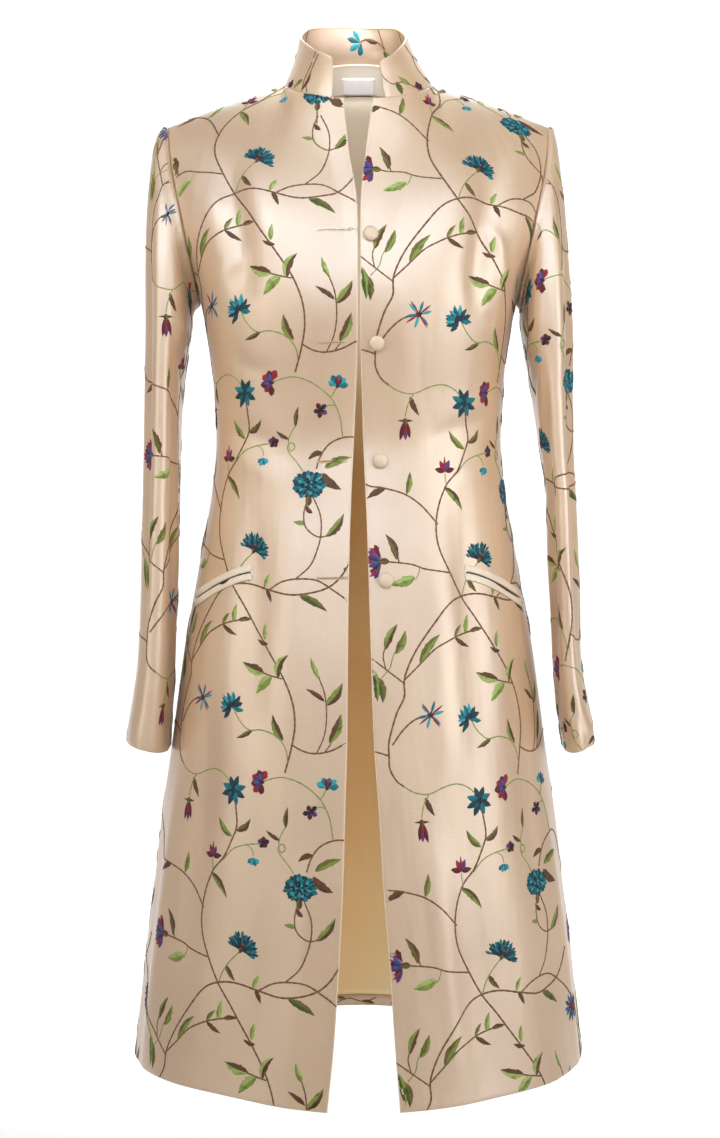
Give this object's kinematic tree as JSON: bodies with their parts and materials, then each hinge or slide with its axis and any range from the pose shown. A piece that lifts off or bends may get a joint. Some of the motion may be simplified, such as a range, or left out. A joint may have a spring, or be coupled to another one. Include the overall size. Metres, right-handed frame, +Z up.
{
  "type": "long nehru jacket",
  "caption": "Knee-length stand-collar jacket in embroidered satin, filled out as worn, front open, slanted welt pockets, covered buttons, gold lining.",
  "frame": {"origin": "inside the base of the neck, level with the shoulder seams at the neck, where the wearer's neck and shoulders hold the jacket", "axes": "+Z up, -Y the jacket's front, +X the wearer's left"},
  "size_m": [0.4622, 0.3683, 1.0406],
  "materials": {
    "satin": "satin",
    "lining": "satin",
    "facing": "matte",
    "label": "matte",
    "welt": "satin",
    "button": "satin",
    "thread": "satin"
  },
  "bodies": {
    "root": {"front_right": "satin", "front_left": "satin", "back": "satin", "sleeve_right": "satin", "sleeve_left": "satin", "collar": "satin", "back_hem": "satin", "back_lining": "lining", "neck_facing": "facing", "neck_label": "label", "pocket_right_upper": "welt", "pocket_right_lower": "welt", "pocket_left_upper": "welt", "pocket_left_lower": "welt", "button_1": "button", "button_2": "button", "button_3": "button", "button_4": "button"}
  },
  "joints": []
}
